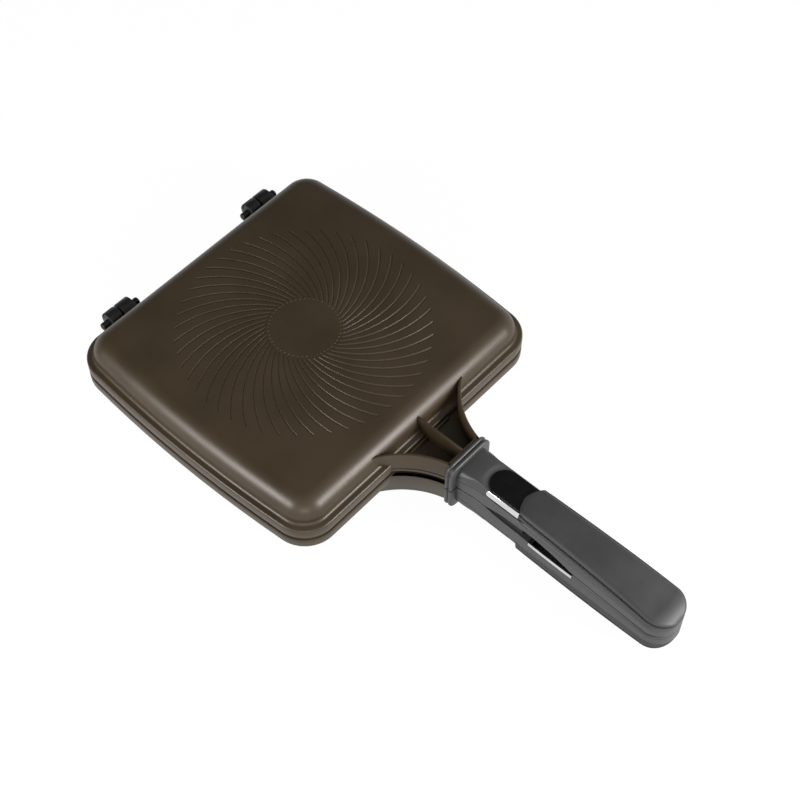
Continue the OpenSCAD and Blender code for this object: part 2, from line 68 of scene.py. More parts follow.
# ---------------------------------------------------------------- shader wiring
# Finishes are written as sums: a Wire is one socket, and the usual operators
# add the Math nodes between sockets.
class Wire:
    def __init__(self, tree, socket):
        self.tree, self.socket = tree, socket

    def node(self, kind, settings=None, **inputs):
        """A node of any kind. An input goes by its name, or by its number after an underscore."""
        made = self.tree.nodes.new(kind)
        for key, value in (settings or {}).items():
            setattr(made, key, value)
        for name, value in inputs.items():
            socket = made.inputs[int(name[1:]) if name[0] == "_" else name.replace("_", " ")]
            if isinstance(value, Wire):
                self.tree.links.new(value.socket, socket)
            else:
                socket.default_value = value
        return made

    def out(self, kind, settings=None, output=0, **inputs):
        """One output of such a node."""
        return Wire(self.tree, self.node(kind, settings, **inputs).outputs[output])

    def maths(self, operation, *values):
        """A Math node on the given values, or on this socket alone."""
        return self.out("ShaderNodeMath", {"operation": operation},
                        **{f"_{i}": v for i, v in enumerate(values or (self,))})

    def __add__(self, other): return self.maths("ADD", self, other)
    def __radd__(self, other): return self.maths("ADD", other, self)
    def __sub__(self, other): return self.maths("SUBTRACT", self, other)
    def __rsub__(self, other): return self.maths("SUBTRACT", other, self)
    def __mul__(self, other): return self.maths("MULTIPLY", self, other)
    def __rmul__(self, other): return self.maths("MULTIPLY", other, self)

    def fade(self, low, high):
        """A soft step from 0 at low to 1 at high."""
        return self.out("ShaderNodeMapRange", {"interpolation_type": "SMOOTHSTEP"},
                        Value=self, From_Min=low, From_Max=high)

    def mixed(self, colour_a, colour_b):
        """The first colour where this is 0, the second where it is 1."""
        return self.out("ShaderNodeMix", {"data_type": "RGBA"}, output=2,
                        _0=self, _6=colour_a, _7=colour_b)


def linear(red, green, blue):
    """A colour given as 8-bit screen values."""
    return tuple((c / 255 / 12.92 if c <= 10 else ((c / 255 + 0.055) / 1.055) ** 2.4)
                 for c in (red, green, blue)) + (1,)


def new_finish(name, **fixed):
    """A material, its shader node and the object coordinates as a Wire."""
    finish = bpy.data.materials.new(name)
    finish.use_nodes = True
    tree = finish.node_tree
    shader = tree.nodes["Principled BSDF"]
    for key, value in fixed.items():
        shader.inputs[key.replace("_", " ")].default_value = value
    place = Wire(tree, tree.nodes.new("ShaderNodeTexCoord").outputs["Object"])
    return finish, shader, place


def feed(shader, **wires):
    """Links wires to a shader's inputs, by name."""
    for key, wire in wires.items():
        wire.tree.links.new(wire.socket, shader.inputs[key.replace("_", " ")])


# ---------------------------------------------------------------- studio
# A pale floor and backdrop. The pan is lit from the sides, as on a light
# table, so its upright faces are brighter than its top.
FLOOR_REACH = 6        # in metres, from the middle
FLOOR_WHITE = 0.97     # how far the floor shows the backdrop's white instead of its own light

floor_mesh = bmesh.new()
bmesh.ops.create_grid(floor_mesh, x_segments=1, y_segments=1, size=FLOOR_REACH)
floor_data = bpy.data.meshes.new("floor")
floor_mesh.to_mesh(floor_data)
floor_mesh.free()
floor = bpy.data.objects.new("floor", floor_data)
bpy.context.scene.collection.objects.link(floor)
paper, paper_shader, spot = new_finish("floor_paper", Roughness=0.9)
paper_shader.inputs["Base Color"].default_value = (0.9, 0.9, 0.9, 1)
rays = spot.node("ShaderNodeLightPath")
seen = Wire(paper.node_tree, rays.outputs["Is Camera Ray"])
seen = seen.maths("MAXIMUM", seen, Wire(paper.node_tree, rays.outputs["Is Glossy Ray"]))
white = spot.out("ShaderNodeEmission", Color=(1, 1, 1, 1), Strength=1)
lit = Wire(paper.node_tree, paper_shader.outputs[0])
both = seen.out("ShaderNodeMixShader", _0=seen * FLOOR_WHITE, _1=lit, _2=white)
paper.node_tree.links.new(both.socket, paper.node_tree.nodes["Material Output"].inputs[0])
floor_data.materials.append(paper)

bpy.context.scene.view_settings.view_transform = "Standard"
world = bpy.data.worlds.new("studio")
bpy.context.scene.world = world
world.use_nodes = True
sky = world.node_tree
backdrop = sky.nodes["Background"]
path = sky.nodes.new("ShaderNodeLightPath")
where = sky.nodes.new("ShaderNodeTexCoord")
split = sky.nodes.new("ShaderNodeSeparateXYZ")
sky.links.new(where.outputs["Generated"], split.inputs[0])
height = Wire(sky, split.outputs["Z"])
forward = 0 - Wire(sky, split.outputs["Y"])
glow = (0.6 + forward.fade(-0.8, 0) * 0.4        # darker behind the hinges
        - height.fade(0.05, 0.7) * 0.66          # darker overhead
        + forward.fade(-0.35, 0.35) * 0.28)      # brighter beyond the handle's end
glow = glow.maths("MAXIMUM", glow, 0.16)
camera_ray = Wire(sky, path.outputs["Is Camera Ray"])
glow = camera_ray + (1 - camera_ray) * glow
sky.links.new(glow.socket, backdrop.inputs["Strength"])
backdrop.inputs["Color"].default_value = (1, 1, 1, 1)


PAN_AIM, HANDLE_AIM = (-0.08, -0.08, 0.03), (0, -0.2, 0.02)
SMALL_BOX, LARGE_BOX = (0.26, 0.24), (0.5, 0.3)


def softbox(name, place, size, power, aim):
    """A rectangular lamp, in metres and watts."""
    lamp = bpy.data.lights.new(name, "AREA")
    lamp.shape, lamp.size, lamp.size_y, lamp.energy = "RECTANGLE", size[0], size[1], power
    box = bpy.data.objects.new(name, lamp)
    bpy.context.scene.collection.objects.link(box)
    box.location = place
    box.rotation_euler = (Vector(aim) - Vector(place)).to_track_quat("-Z", "Y").to_euler()


softbox("front_softbox", (0.16, -0.55, 0.25), SMALL_BOX, 4.6, PAN_AIM)
softbox("left_softbox", (-0.55, 0.13, 0.27), SMALL_BOX, 3.7, PAN_AIM)
softbox("handle_softbox", (-0.75, -0.75, 0.4), LARGE_BOX, 3, HANDLE_AIM)


# ---------------------------------------------------------------- pans
# Two aluminium castings, one turned over on the other, each with its bracket,
# tang and hinge lugs. The lower one has a lip that the upper one shuts on. Both
# are coated dark bronze, with a swirl of grooves cast into the base.
MM = 0.001             # sizes are in millimetres from here on
PAN_W, PAN_L, PAN_H = 196, 182.6, 20.5
BOW_R, CORNER_R, SHOULDER_R = 841.5, 20, 11.4
FLANGE, WALL = 4.5, 3
CORNER_Y = PAN_L / 2 - CORNER_R
BOW_X = PAN_W / 2 - BOW_R
CORNER_X = BOW_X + math.sqrt((BOW_R - CORNER_R) ** 2 - CORNER_Y ** 2)
BOW_TURN = math.asin(CORNER_Y / (BOW_R - CORNER_R))
LIP, HALF_GAP = 2.8, 1               # between the two rims, and between the two handle halves
MID = PAN_H + LIP / 2                # middle height of the shut pan
Z = Vector((0, 0, 1))


def quarter(cx, cz, r, start, end, count):
    """Points on an arc, in degrees."""
    return [(cx + r * math.cos(math.radians(start + (end - start) * k / count)),
             cz + r * math.sin(math.radians(start + (end - start) * k / count)))
            for k in range(count + 1)]


def turned_out(bm):
    """Closes the seams and points every face outwards."""
    bmesh.ops.remove_doubles(bm, verts=bm.verts, dist=0.002)
    bmesh.ops.recalc_face_normals(bm, faces=bm.faces)
    return bm


def stood(bm, name, upper, sharp=32, gap=HALF_GAP):
    """Makes an object of a bmesh that is drawn above its half's parting face, in its place.

    Edges sharper than the angle stay sharp, and gap is the one between the two halves."""
    if not upper:
        bmesh.ops.scale(bm, vec=(1, 1, -1), verts=bm.verts)
        bmesh.ops.reverse_faces(bm, faces=bm.faces)
    bmesh.ops.scale(bm, vec=(MM, MM, MM), verts=bm.verts)
    face = MID + (gap / 2 if upper else -gap / 2)
    bmesh.ops.translate(bm, vec=(0, 0, face * MM), verts=bm.verts)
    data = bpy.data.meshes.new(name)
    bm.to_mesh(data)
    bm.free()
    data.shade_smooth()
    data.set_sharp_from_angle(angle=math.radians(sharp))
    made = bpy.data.objects.new(name, data)
    bpy.context.scene.collection.objects.link(made)
    return made


COVE_R, COVE_Z = 2.2, 8.9            # the hollow curve from side wall to flange
BRIM_R, BRIM_Z = 1.3, 5.4            # the flange's round upper edge
LIP_IN = 1.0                         # how far the lip lies inside the rim's edge


def shell_profile(upper):
    """Half a section of the casting: distances inside the rim's edge, heights above its face."""
    foot = 0 if upper else -LIP
    wall_in = FLANGE + WALL
    shoulder = FLANGE + SHOULDER_R, PAN_H - SHOULDER_R
    lip = [(LIP_IN, 0), (LIP_IN, 0.4 - LIP), (LIP_IN + 0.12, 0.12 - LIP), (LIP_IN + 0.4, -LIP)]
    return (quarter(*shoulder, SHOULDER_R, 90, 180, 12)
            + quarter(FLANGE - COVE_R, COVE_Z, COVE_R, 0, -78, 7)
            + quarter(BRIM_R, BRIM_Z, BRIM_R, 100, 180, 5)
            + [(0, 2.4), (0, 0.6), (0.12, 0.22), (0.5, 0)]
            + ([] if upper else lip)
            + [(wall_in - 0.7, foot), (wall_in - 0.2, foot + 0.18), (wall_in, foot + 0.6)]
            + quarter(*shoulder, SHOULDER_R - WALL, 180, 90, 10))


def shell_bmesh(upper):
    """The dished casting: its profile spun round the corners and drawn along the sides."""
    bm = bmesh.new()
    line = [bm.verts.new((CORNER_X + (CORNER_R - d) * math.cos(BOW_TURN),
                          CORNER_Y + (CORNER_R - d) * math.sin(BOW_TURN), z))
            for d, z in shell_profile(upper)]
    edge = [bm.edges.new(pair) for pair in zip(line, line[1:])]
    corner = math.pi / 2 - BOW_TURN

    def spun(edge, cx, cy, angle, steps):
        made = bmesh.ops.spin(bm, geom=edge, cent=(cx, cy, 0), axis=Z, angle=angle, steps=steps)
        return [e for e in made["geom_last"] if isinstance(e, bmesh.types.BMEdge)]

    def drawn(edge, dx):
        made = bmesh.ops.extrude_edge_only(bm, edges=edge)["geom"]
        moved = [v for v in made if isinstance(v, bmesh.types.BMVert)]
        bmesh.ops.translate(bm, vec=(dx, 0, 0), verts=moved)
        return [e for e in made if isinstance(e, bmesh.types.BMEdge)
                and all(v in moved for v in e.verts)]

    edge = spun(edge, CORNER_X, CORNER_Y, corner, 18)
    edge = drawn(edge, -2 * CORNER_X)
    edge = spun(edge, -CORNER_X, CORNER_Y, corner, 18)
    edge = spun(edge, -BOW_X, 0, 2 * BOW_TURN, 10)
    edge = spun(edge, -CORNER_X, -CORNER_Y, corner, 18)
    edge = drawn(edge, 2 * CORNER_X)
    edge = spun(edge, CORNER_X, -CORNER_Y, corner, 18)
    spun(edge, BOW_X, 0, 2 * BOW_TURN, 10)
    bmesh.ops.remove_doubles(bm, verts=bm.verts, dist=0.002)
    bmesh.ops.holes_fill(bm, edges=[e for e in bm.edges if e.is_boundary], sides=0)
    return turned_out(bm)


SWIRL_IN, SWIRL_OUT, SWIRL_R = 22, 72.4, 67
SWIRL_TURN, SWIRL_COUNT = math.radians(44), 49
DOT_R, DOT_BACK, DOT_UP = 0.62, 1.6, 0.3


def groove_cutters():
    """Curved bars with a rounded lower edge, one for each groove, and a dot at each inner end."""
    start = Vector((SWIRL_IN, 0, 0))
    end = SWIRL_OUT * Vector((math.cos(SWIRL_TURN), math.sin(SWIRL_TURN), 0))
    half = (end - start) / 2
    to_centre = math.sqrt(SWIRL_R ** 2 - half.length ** 2)
    centre = (start + end) / 2 + to_centre * Z.cross(half.normalized())
    span = 2 * math.asin(half.length / SWIRL_R)
    bm = bmesh.new()
    outward = (start - centre).normalized()
    section = [(-1.1, 0.4), (-0.85, 0.06), (-0.55, -0.26), (0, -0.42), (0.35, -0.3),
               (0.5, 0), (0.62, 0.4)]
    ring = [bm.verts.new(start + outward * a + Z * (PAN_H + b)) for a, b in section]
    face = bm.faces.new(ring)
    bmesh.ops.spin(bm, geom=[face], cent=centre, axis=Z, angle=span, steps=22)
    dot = bmesh.ops.create_icosphere(bm, subdivisions=2, radius=DOT_R)["verts"]
    bmesh.ops.translate(bm, vec=(SWIRL_IN - DOT_BACK, 0, PAN_H + DOT_UP), verts=dot)
    one = list(bm.verts) + list(bm.edges) + list(bm.faces)
    for k in range(1, SWIRL_COUNT):
        copy = bmesh.ops.duplicate(bm, geom=one)["geom"]
        bmesh.ops.rotate(bm, cent=(0, 0, 0),
                         matrix=Matrix.Rotation(2 * math.pi * k / SWIRL_COUNT, 3, "Z"),
                         verts=[v for v in copy if isinstance(v, bmesh.types.BMVert)])
    bmesh.ops.recalc_face_normals(bm, faces=bm.faces)
    return bm


def loose(bm):
    """A scratch object for a Boolean."""
    data = bpy.data.meshes.new("scratch")
    bm.to_mesh(data)
    bm.free()
    made = bpy.data.objects.new("scratch", data)
    bpy.context.scene.collection.objects.link(made)
    return made


def cut(solid, cutter):
    """The first bmesh less the second."""
    a, b = loose(solid), loose(cutter)
    knife = a.modifiers.new("cut", "BOOLEAN")
    knife.operation, knife.solver, knife.object = "DIFFERENCE", "EXACT", b
    bpy.context.view_layer.update()
    done = bmesh.new()
    done.from_object(a, bpy.context.evaluated_depsgraph_get())
    for scratch in (a, b):
        data = scratch.data
        bpy.data.objects.remove(scratch)
        bpy.data.meshes.remove(data)
    return done


def block(low, high, bevel=0.0):
    """A box between two corners, with its edges softened by the bevel."""
    bm = bmesh.new()
    bmesh.ops.create_cube(bm, size=1)
    bmesh.ops.scale(bm, vec=Vector(high) - Vector(low), verts=bm.verts)
    bmesh.ops.translate(bm, vec=(Vector(high) + Vector(low)) / 2, verts=bm.verts)
    if bevel:
        bmesh.ops.bevel(bm, geom=bm.edges[:], offset=bevel, segments=2, affect="EDGES",
                        profile=0.5, material=-1)
    return bm


def join(*parts):
    """One bmesh that holds all the given ones."""
    whole = bmesh.new()
    for bm in parts:
        data = bpy.data.meshes.new("part")
        bm.to_mesh(data)
        bm.free()
        whole.from_mesh(data)
        bpy.data.meshes.remove(data)
    return whole


BRACKET_L, BRACKET_HALF, BRACKET_H, RIB_T = 26.7, 12.3, 16, 1.8
WEB_LOW, WEB_HIGH = 1.2, 3
FRONT_Y = -PAN_L / 2                 # front edge of the rim
COLLAR_Y = FRONT_Y - BRACKET_L
COLLAR_T = 5
HANDLE_Y = COLLAR_Y - COLLAR_T
# Where walls, long rib and web end, inside the pan's side wall
WALL_END, RIB_END, WEB_END = -85.2, -84.2, -84
CROSS_HALF = 17.2                    # half the length of the cross rib
FLARE_R, FLARE_BACK = 52, 12         # the walls' curve, and its centre behind the collar's front
FLARE_X = BRACKET_HALF + math.sqrt(FLARE_R ** 2 - FLARE_BACK ** 2)
FLARE_Y = COLLAR_Y - FLARE_BACK
TANG_HALF, TANG_LOW, TANG_HIGH, TANG_L = 5.5, 3.5, 8.5, 23.9


def flared_wall(side):
    """One side wall: a bar bent round an upright axis, with its upper edges softened."""
    start = math.atan2(COLLAR_Y - FLARE_Y, BRACKET_HALF - FLARE_X)
    end = math.pi - math.asin((WALL_END - FLARE_Y) / FLARE_R)
    if side < 0:
        start, end = math.pi - start, math.pi - end
    inner, outer, high, soft = FLARE_R, FLARE_R + RIB_T, BRACKET_H, 0.45
    section = [(inner, WEB_LOW), (outer, WEB_LOW), (outer, high - soft),
               (outer - soft * 0.4, high - soft * 0.3), (outer - soft, high),
               (inner + soft, high), (inner + soft * 0.4, high - soft * 0.3), (inner, high - soft)]
    bm = bmesh.new()
    ray = Vector((math.cos(start), math.sin(start), 0))
    centre = Vector((side * FLARE_X, FLARE_Y, 0))
    face = bm.faces.new([bm.verts.new(centre + ray * r + Z * z) for r, z in section])
    bmesh.ops.spin(bm, geom=[face], cent=centre, axis=Z, angle=end - start, steps=20)
    bmesh.ops.recalc_face_normals(bm, faces=bm.faces)
    return bm


def web_bmesh():
    """The flat web between the two flared walls, whose edges lie in the walls."""
    bm = bmesh.new()
    rows, steps, bite, widest = [], 14, 0.4, 35.4
    for k in range(steps + 1):
        y = COLLAR_Y + (WEB_END - COLLAR_Y) * k / steps
        half = min(FLARE_X - math.sqrt(FLARE_R ** 2 - (y - FLARE_Y) ** 2) + bite, widest)
        rows.append([bm.verts.new((-half, y, WEB_LOW)), bm.verts.new((half, y, WEB_LOW))])
        bm.edges.new(rows[-1])
    for a, b in zip(rows, rows[1:]):
        bmesh.ops.contextual_create(bm, geom=[*a, *b])
    up = bmesh.ops.extrude_face_region(bm, geom=bm.faces[:])["geom"]
    bmesh.ops.translate(bm, vec=(0, 0, WEB_HIGH - WEB_LOW),
                        verts=[v for v in up if isinstance(v, bmesh.types.BMVert)])
    bmesh.ops.recalc_face_normals(bm, faces=bm.faces)
    return bm


def bracket_bmesh():
    """Flared side walls, web, ribs and end plate of one bracket, and the tang behind it."""
    rib_low, soft = 2, 0.4      # the ribs start inside the web
    return join(flared_wall(1), flared_wall(-1), web_bmesh(),
                # long rib, cross rib, end plate and tang
                block((-RIB_T / 2, COLLAR_Y + 0.5, rib_low), (RIB_T / 2, RIB_END, BRACKET_H), soft),
                block((-CROSS_HALF, FRONT_Y - RIB_T, rib_low),
                      (CROSS_HALF, FRONT_Y - 0.2, WEB_HIGH + 2.2), soft),
                block((-BRACKET_HALF, COLLAR_Y, WEB_LOW),
                      (BRACKET_HALF, COLLAR_Y + 1.6, BRACKET_H), soft),
                block((-TANG_HALF, HANDLE_Y - TANG_L, TANG_LOW),
                      (TANG_HALF, COLLAR_Y + 0.5, TANG_HIGH), 0.3))


HINGE_Y, LUG_R, PIN_R = 98.5, 6.2, 2.5
BORE_R = PIN_R + 0.05
ARM_Y, ARM_LOW, ARM_HIGH = 87.5, 0.5, 4.3
SAW_FRONT, SAW_BACK = HINGE_Y + 3.3, HINGE_Y + 4.1


def eye_bmesh(x, width, upper):
    """A lug or knuckle round the hinge axis, its left face at x, with the arm that carries it."""
    bm = bmesh.new()
    soft, softer = 0.18, 0.6
    section = [(BORE_R, 0), (LUG_R - softer, 0), (LUG_R - soft, soft), (LUG_R, softer),
               (LUG_R, width - softer), (LUG_R - soft, width - soft), (LUG_R - softer, width),
               (BORE_R, width)]
    face = bm.faces.new([bm.verts.new((x + w, HINGE_Y, r)) for r, w in section])
    bmesh.ops.spin(bm, geom=[face], cent=(x, HINGE_Y, 0), axis=(1, 0, 0), angle=2 * math.pi,
                   steps=40, use_merge=True)
    bmesh.ops.delete(bm, geom=[f for f in bm.faces if len(f.verts) > 4], context="FACES_ONLY")
    turned_out(bm)
    if not upper:
        # drawn as for the upper pan, so the saw cut points down here
        bm = cut(bm, block((x - 1, SAW_FRONT, -9), (x + width + 1, SAW_BACK, -1.3)))
    bmesh.ops.translate(bm, vec=(0, 0, -LIP / 2), verts=bm.verts)
    arm = block((x, ARM_Y, ARM_LOW), (x + width, HINGE_Y - PIN_R - 0.4, ARM_HIGH), 0.5)
    return join(bm, arm)


coating, shader, place = new_finish("bronze_coating", IOR=1.44)
fleck = place.out("ShaderNodeTexNoise", Vector=place, Scale=2600.0, Detail=2.0, Roughness=0.6)
cloud = place.out("ShaderNodeTexNoise", Vector=place, Scale=28.0, Detail=3.0, Roughness=0.5)
axes = place.node("ShaderNodeSeparateXYZ", Vector=place)
behind_rim = Wire(place.tree, axes.outputs["Y"]).fade(0.0915, 0.0925)
tone = fleck.fade(0.35, 0.7) * 0.55 + cloud.fade(0.3, 0.7) * 0.45
bronze = tone.mixed(linear(45, 35, 22), linear(57, 46, 31))
feed(shader, Base_Color=behind_rim.mixed(bronze, linear(18, 17, 16)),
     Metallic=fleck.fade(0.45, 0.75) * 0.3 + 0.1,
     Roughness=0.34 + cloud.fade(0.3, 0.7) * 0.05 + fleck * 0.06)
grain = place.out("ShaderNodeBump", Strength=0.12, Distance=0.00004, Height=fleck)
feed(shader, Normal=grain)

eye_x = {"lower": (-62, 51), "upper": (-53, 60)}
eye_w = {"lower": 8, "upper": 9}
for half in ("lower", "upper"):
    is_upper = half == "upper"
    pan = join(cut(shell_bmesh(is_upper), groove_cutters()), bracket_bmesh(),
               *(eye_bmesh(x, eye_w[half], is_upper) for x in eye_x[half]))
    pan = stood(pan, half + "_casting", is_upper, gap=LIP)
    pan.data.materials.append(coating)
    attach(pan, half + "_half")
    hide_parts(half + "_pan")


# ---------------------------------------------------------------- hinge pins
# Two steel pins, blacked, with rounded ends. They sit in the lower pan's sawn
# lugs, and the upper pan's knuckles slide off their free ends.
PIN_L, PIN_LEFT = 28, (-67, 46)


def pin_bmesh(x):
    """A pin with its left end at x."""
    bm = bmesh.new()
    tip = [(0, 0), (1.3, 0.06), (2, 0.3), (2.36, 0.7), (PIN_R, 1.3)]
    line = tip + [(r, PIN_L - a) for r, a in reversed(tip)]
    verts = [bm.verts.new((x + a, HINGE_Y, r)) for r, a in line]
    edges = [bm.edges.new(pair) for pair in zip(verts, verts[1:])]
    bmesh.ops.spin(bm, geom=edges, cent=(x, HINGE_Y, 0), axis=(1, 0, 0), angle=2 * math.pi,
                   steps=32, use_merge=True)
    return turned_out(bm)


blacked, shader, place = new_finish("blacked_steel", Metallic=0.6)
rub = place.out("ShaderNodeTexNoise", Vector=place, Scale=900.0, Detail=3.0, Roughness=0.6)
feed(shader, Base_Color=rub.fade(0.4, 0.8).mixed(linear(24, 23, 22), linear(44, 42, 39)),
     Roughness=0.34 + rub * 0.12)
pins = stood(join(*(pin_bmesh(x) for x in PIN_LEFT)), "blacked_pins", True, gap=0)
pins.data.materials.append(blacked)
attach(pins, "pins")
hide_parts("hinge_pins")


# ---------------------------------------------------------------- collars
# A moulded ring with two round beads at the front of each handle half. It
# keeps the flame from the grip and is clamped against the bracket's end plate.
COLLAR_W, COLLAR_H, COLLAR_R = 32, 17.8, 6


def ring_edges(bm, points):
    """A closed loop of edges through the points."""
    verts = [bm.verts.new(point) for point in points]
    return [bm.edges.new((a, b)) for a, b in zip(verts, verts[1:] + verts[:1])]


def dome_loop(bm, y, w, h, r):
    """An upright arch, flat below, as a closed loop of edges."""
    foot = 0.05
    points = [(-w / 2, foot), (w / 2, foot)]
    points += quarter(w / 2 - r, h - r, r, 0, 90, 7) + quarter(r - w / 2, h - r, r, 90, 180, 7)
    return ring_edges(bm, [(x, y, z) for x, z in points])


def loft(bm, loops):
    """Skins a row of loops and closes both ends."""
    for a, b in zip(loops, loops[1:]):
        bmesh.ops.bridge_loops(bm, edges=a + b)
    bmesh.ops.holes_fill(bm, edges=[e for e in bm.edges if e.is_boundary], sides=0)
    bmesh.ops.recalc_face_normals(bm, faces=bm.faces)
    return bm


def collar_bmesh():
    """Arches from front to back. A profile point is its distance back and its inset."""
    bm = bmesh.new()
    bead = [(0.0, 0.85), (0.12, 0.5), (0.42, 0.16), (0.9, 0.0), (1.35, 0.0), (1.8, 0.2),
            (2.08, 0.55)]
    groove = [(2.25, 0.95), (2.75, 0.95)]
    line = bead + groove + [(COLLAR_T - y, inset) for y, inset in reversed(bead)]
    return loft(bm, [dome_loop(bm, COLLAR_Y - y, COLLAR_W - 2 * inset, COLLAR_H - inset,
                               COLLAR_R - inset)
                     for y, inset in line])


moulded, shader, place = new_finish("moulded_grey_plastic", IOR=1.48)
speck = place.out("ShaderNodeTexNoise", Vector=place, Scale=3200.0, Detail=2.0, Roughness=0.55)
haze = place.out("ShaderNodeTexNoise", Vector=place, Scale=45.0, Detail=2.0, Roughness=0.5)
shade = speck.fade(0.3, 0.7) * 0.5 + haze.fade(0.3, 0.7) * 0.5
feed(shader, Base_Color=shade.mixed(linear(42, 41, 41), linear(53, 52, 52)),
     Roughness=0.4 + haze * 0.1 + speck * 0.04)
feed(shader, Normal=place.out("ShaderNodeBump", Strength=0.15, Distance=0.00003, Height=speck))

for half in ("lower", "upper"):
    collar = stood(collar_bmesh(), half + "_flame_collar", half == "upper", 50)
    collar.data.materials.append(moulded)
    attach(collar, half + "_half")
    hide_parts(half + "_collar")


# ---------------------------------------------------------------- handle bodies
# Each handle half is a grey plastic moulding: a neck that takes the tang, a
# waist with the bed of the inlay, and a rail under the grip cover.
HANDLE_L, NECK_L, INLAY_L = 139, 15.3, 22
NECK_W, NECK_TOP, NECK_H = 23.4, 23, 15.2
WAIST_W, WAIST_H, BED_W = 21.2, 15.8, 18
KNEE = 0.75                          # share of the height below which a side stands upright
GRIP_W, END_R = 26.2, 12
RAIL_H, RAIL_END = 11.3, 7.4
INLAY_W, INLAY_T, INLAY_R = 17.2, 0.8, 8.6
INLAY_Y = HANDLE_Y - NECK_L
COVER_Y = INLAY_Y - INLAY_L
ROUND_Y = HANDLE_Y - HANDLE_L + END_R
FRONT_R, SPARE = 14.4, 0.6           # the cover's round front, and an overlap at its sides
# How far that front falls back at the waist's sides
FRONT_L = FRONT_R - math.sqrt(FRONT_R ** 2 - (WAIST_W / 2) ** 2) + SPARE
# The hollow between the two halves
LENS_START, LENS_L, LENS_DEPTH = 17, 65, {"lower": 1.2, "upper": 5.5}
LENS_Y = HANDLE_Y - LENS_START - LENS_L / 2


def section_loop(bm, y, w_low, w_top, z0, z1, r_low, r_top, steps=7):
    """A rounded box across the handle, as a closed loop. It narrows from its knee upwards.

    Both widths are half widths, measured from the middle."""
    w, h = max(w_low, w_top), z1 - z0
    points = []
    bend = z0 + h * KNEE
    for q in range(4):
        r = min(r_top if q < 2 else r_low, 0.9 * w, 0.48 * h)
        for k in range(steps + 1):
            a = math.radians(90 * (q + k / steps))
            x = (w - r if q in (0, 3) else r - w) + r * math.cos(a)
            z = (z1 - r if q < 2 else z0 + r) + r * math.sin(a)
            lean = max(0, (z - bend) / (z1 - bend))
            points.append((x / w * (w_low + (w_top - w_low) * lean), y, z))
        if q in (1, 3):
            points.append((w_low if q == 3 else -w_low, y, bend))
    return ring_edges(bm, points)


def grip_half(y):
    """Half the handle's width at a place along it."""
    if y < ROUND_Y:
        return GRIP_W / 2 - END_R + math.sqrt(max(0, END_R ** 2 - (ROUND_Y - y) ** 2))
    return WAIST_W / 2 + (GRIP_W - WAIST_W) / 2 * max(0, (COVER_Y - y) / (COVER_Y - ROUND_Y))


def rail(y):
    """Height of the rail, which falls from the side of the cover's front to the round end."""
    front = COVER_Y - FRONT_L + SPARE
    return RAIL_H - (RAIL_H - RAIL_END) * max(0, min(1, (front - y) / (front - ROUND_Y)))


def barrel(x, y, z, radius, depth, axis="Z", segments=64):
    """A cylinder that starts at a point and runs along an axis."""
    bm = bmesh.new()
    bmesh.ops.create_cone(bm, cap_ends=True, segments=segments, radius1=radius, radius2=radius,
                          depth=depth)
    bmesh.ops.translate(bm, vec=(0, 0, depth / 2), verts=bm.verts)
    if axis == "X":
        bmesh.ops.rotate(bm, cent=(0, 0, 0), matrix=Matrix.Rotation(math.pi / 2, 3, "Y"),
                         verts=bm.verts)
    bmesh.ops.translate(bm, vec=(x, y, z), verts=bm.verts)
    return bm


def lens_barrel(half, thicker=0):
    """A wide drum that hollows the inner face of one handle half."""
    depth, reach = LENS_DEPTH[half], 30
    radius = ((LENS_L / 2) ** 2 + depth ** 2) / (2 * depth)
    return barrel(-reach, LENS_Y, depth - radius, radius + thicker, 2 * reach, axis="X",
                  segments=1200)


NECK_EASE = 12.2                     # length over which the neck becomes the waist


def flank(y):
    """Half the width below the knee, and how far the neck has become the waist."""
    t = min(1, (HANDLE_Y - y) / NECK_EASE)
    ease = t * t * (3 - 2 * t)
    return NECK_W / 2 + (WAIST_W - NECK_W) / 2 * ease, ease


SEAM_L, SEAM_Z, SEAM_RISE, SEAM_DEEP = 24, 7.2, 3.6, 0.6


def seam_cutter(side):
    """The groove that runs back from the collar and up to the slot under the polished strip."""
    bm = bmesh.new()
    loops = []
    for k in range(11):
        t = k / 10
        y, z = HANDLE_Y + 0.1 - SEAM_L * t, SEAM_Z + SEAM_RISE * math.sin(math.pi / 2 * t)
        x = side * flank(y)[0]
        floor = x - SEAM_DEEP * side
        loops.append(ring_edges(bm, [(floor, y, z), (x + side, y, z - 0.9),
                                     (x + side, y, z + 0.9), (floor, y, z + 0.05)]))
    return loft(bm, loops)


def crescent_cutter():
    """The hollow that runs up round the inlay's front, spun from distances out and heights."""
    bm = bmesh.new()
    centre_y, floor_z, above_z = INLAY_Y - INLAY_R, WAIST_H - 0.75, 19
    line = [(0, floor_z), (INLAY_R + 0.1, floor_z), (9.4, floor_z + 0.01), (12.0, WAIST_H - 0.05),
            (12.6, WAIST_H + 0.15), (12.6, above_z), (0, above_z)]
    verts = [bm.verts.new((x, centre_y, z)) for x, z in line]
    edges = [bm.edges.new(pair) for pair in zip(verts, verts[1:])]
    bmesh.ops.spin(bm, geom=edges, cent=(0, centre_y, 0), axis=Z, angle=2 * math.pi, steps=72,
                   use_merge=True)
    return turned_out(bm)


PLATE_L, PLATE_T = 30, 2.6
PLATE_OUT = {"lower": 0.15, "upper": -0.9}      # how far its edges stand out from the side


